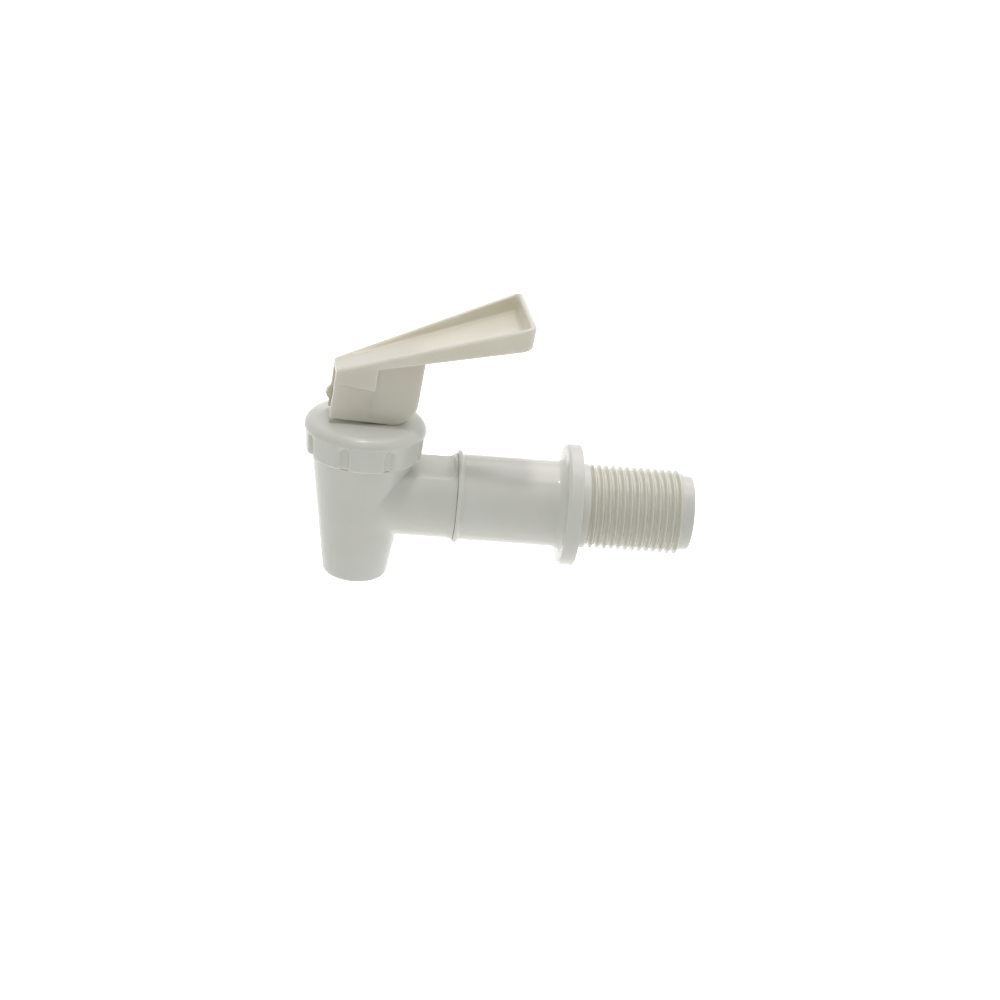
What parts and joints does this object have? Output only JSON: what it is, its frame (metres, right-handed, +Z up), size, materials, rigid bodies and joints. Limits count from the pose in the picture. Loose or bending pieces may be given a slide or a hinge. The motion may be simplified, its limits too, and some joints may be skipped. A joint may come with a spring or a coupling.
{
  "type": "water dispenser faucet",
  "caption": "Self-closing water dispenser faucet: a tapering spout under a screwed bonnet, a thumb lever on top and a flanged, threaded shank that passes through the dispenser's wall.",
  "frame": {"origin": "centre of the water outlet, at the spout's lower end", "axes": "+Z up the spout's axis, +X from the spout along the arm and the shank, through the dispenser's wall"},
  "size_m": [0.0871, 0.0275, 0.0637],
  "materials": {
    "body_plastic": "cool off-white moulded plastic, semi-gloss",
    "handle_plastic": "warm ivory moulded plastic, semi-gloss",
    "stem_plastic": "natural white acetal, satin",
    "pin_steel": "drawn stainless steel",
    "spring_steel": "drawn stainless spring wire",
    "silicone": "translucent white silicone rubber"
  },
  "bodies": {
    "fixed": {"faucet_body": "body_plastic", "shank": "body_plastic", "bonnet": "body_plastic", "seat_cup": "silicone"},
    "swivel": {"thrust_washer": "stem_plastic", "spring": "spring_steel"},
    "plunger": {"stem": "stem_plastic", "cross_pin": "pin_steel"},
    "lever": {"handle": "handle_plastic"}
  },
  "joints": [
    {"name": "handle_swivel", "type": "hinge", "parent": "fixed", "child": "swivel", "pos_m": [0, 0, 0.0345], "axis": [0, 0, 1], "continuous": true},
    {"name": "stem_lift", "type": "slide", "parent": "swivel", "child": "plunger", "axis": [0, 0, 1], "range_m": [0, 0.00216], "stiffness_N_per_m": 150, "springref_m": -0.007, "deforming": ["spring", "seat_cup"]},
    {"name": "handle_tilt", "type": "hinge", "parent": "plunger", "child": "lever", "pos_m": [0, 0, 0.04228], "axis": [-0.0767, 0.9971, 0], "range_deg": [0, 24]}
  ],
  "couplings": [
    {"joint": "handle_tilt", "follows": "stem_lift", "rad_per_m": 194.17}
  ]
}
